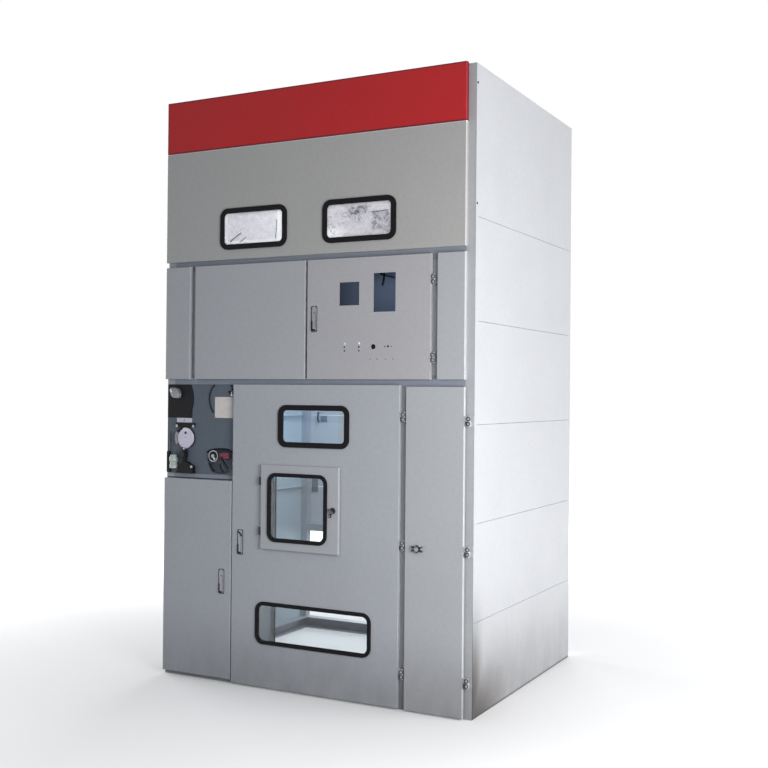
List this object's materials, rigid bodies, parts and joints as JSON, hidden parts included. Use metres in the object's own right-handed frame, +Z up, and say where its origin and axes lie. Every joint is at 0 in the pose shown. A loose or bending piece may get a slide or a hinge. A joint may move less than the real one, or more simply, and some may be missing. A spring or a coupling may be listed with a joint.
{
  "type": "fixed type switchgear cabinet",
  "caption": "Fixed type switchgear cubicle of folded grey sheet with a red header, windowed doors, an inspection hatch and an open mechanism bay.",
  "frame": {"origin": "middle of the floor-bolt rectangle, on the floor plane", "axes": "+X to the right seen from the front, -Y out of the front doors, +Z up"},
  "size_m": [1.6, 1.325, 2.735],
  "materials": {
    "cabinet_grey": "satin light grey powder coat",
    "frame_grey": "satin blue-grey coat",
    "header_red": "gloss red paint",
    "rubber": "matt black rubber",
    "glass": "clear",
    "zinc": "polished zinc",
    "dark_metal": "satin black",
    "slate": "satin slate",
    "dial_white": "matt off-white",
    "lever_red": "gloss red",
    "label": "matt cream"
  },
  "bodies": {
    "root": {"base_frame": "frame_grey", "corner_posts": "frame_grey", "front_mullions": "frame_grey", "frame_rails": "frame_grey", "roof_sheet": "cabinet_grey", "rear_sheets": "cabinet_grey", "left_side_sheets": "cabinet_grey", "right_side_sheets": "cabinet_grey", "header_panel": "header_red", "upper_panel": "cabinet_grey", "upper_window_rubbers": "rubber", "upper_window_panes": "glass", "filler_panels": "cabinet_grey", "instrument_box": "cabinet_grey", "mechanism_plate": "slate", "shutter_plate": "dark_metal", "compartment_partition": "cabinet_grey", "position_dial": "dial_white", "shaft_knobs": "zinc", "interlock_bracket": "dark_metal", "interlock_levers": "lever_red", "label_plates": "label", "fixed_hinges": "zinc", "concealed_hinge_arms": "zinc"},
    "main_door": {"main_door_panel": "cabinet_grey", "main_door_rubbers": "rubber", "main_door_panes": "glass", "main_door_hinges": "zinc", "main_door_lock": "zinc", "hatch_hinge_leaves": "dark_metal"},
    "inspection_hatch": {"hatch_panel": "cabinet_grey", "hatch_rubber": "rubber", "hatch_pane": "glass", "hatch_hinges": "dark_metal", "hatch_latch": "zinc"},
    "right_door": {"right_door_panel": "cabinet_grey", "right_door_hinges": "zinc"},
    "right_knob": {"right_door_knob": "zinc"},
    "left_door": {"left_door_panel": "cabinet_grey", "left_door_lock": "zinc"},
    "instrument_door": {"instrument_door_panel": "cabinet_grey", "instrument_door_hinges": "zinc", "instrument_door_lock": "zinc"},
    "relay_door": {"relay_door_panel": "cabinet_grey"},
    "main_lever": {"main_door_lever": "zinc"},
    "left_lever": {"left_door_lever": "zinc"},
    "instrument_lever": {"instrument_door_lever": "zinc"}
  },
  "joints": [
    {"name": "main_door_hinge", "type": "hinge", "parent": "root", "child": "main_door", "pos_m": [0.4825, -0.652, 0.703], "axis": [0, 0, 1], "range_deg": [0, 90]},
    {"name": "hatch_hinge", "type": "hinge", "parent": "main_door", "child": "inspection_hatch", "pos_m": [-0.2375, -0.67, 0.831], "axis": [0, 0, -1], "range_deg": [0, 110]},
    {"name": "right_door_hinge", "type": "hinge", "parent": "root", "child": "right_door", "pos_m": [0.784, -0.652, 0.6965], "axis": [0, 0, 1], "range_deg": [0, 110]},
    {"name": "right_knob_turn", "type": "hinge", "parent": "right_door", "child": "right_knob", "pos_m": [0.557, -0.665, 0.695], "axis": [0, 1, 0], "range_deg": [0, 90]},
    {"name": "left_door_hinge", "type": "hinge", "parent": "root", "child": "left_door", "pos_m": [-0.7885, -0.647, 0.479], "axis": [0, 0, -1], "range_deg": [0, 95]},
    {"name": "instrument_door_hinge", "type": "hinge", "parent": "root", "child": "instrument_door", "pos_m": [0.619, -0.652, 1.6765], "axis": [0, 0, 1], "range_deg": [0, 110]},
    {"name": "relay_door_hinge", "type": "hinge", "parent": "root", "child": "relay_door", "pos_m": [-0.6165, -0.647, 1.6765], "axis": [0, 0, -1], "range_deg": [0, 95]},
    {"name": "main_lever_hinge", "type": "hinge", "parent": "main_door", "child": "main_lever", "pos_m": [-0.35, -0.658, 0.61856], "axis": [1, 0, 0], "range_deg": [0, 35]},
    {"name": "left_lever_hinge", "type": "hinge", "parent": "left_door", "child": "left_lever", "pos_m": [-0.454, -0.658, 0.42856], "axis": [1, 0, 0], "range_deg": [0, 35]},
    {"name": "instrument_lever_hinge", "type": "hinge", "parent": "instrument_door", "child": "instrument_lever", "pos_m": [0.037, -0.658, 1.63706], "axis": [1, 0, 0], "range_deg": [0, 35]}
  ]
}
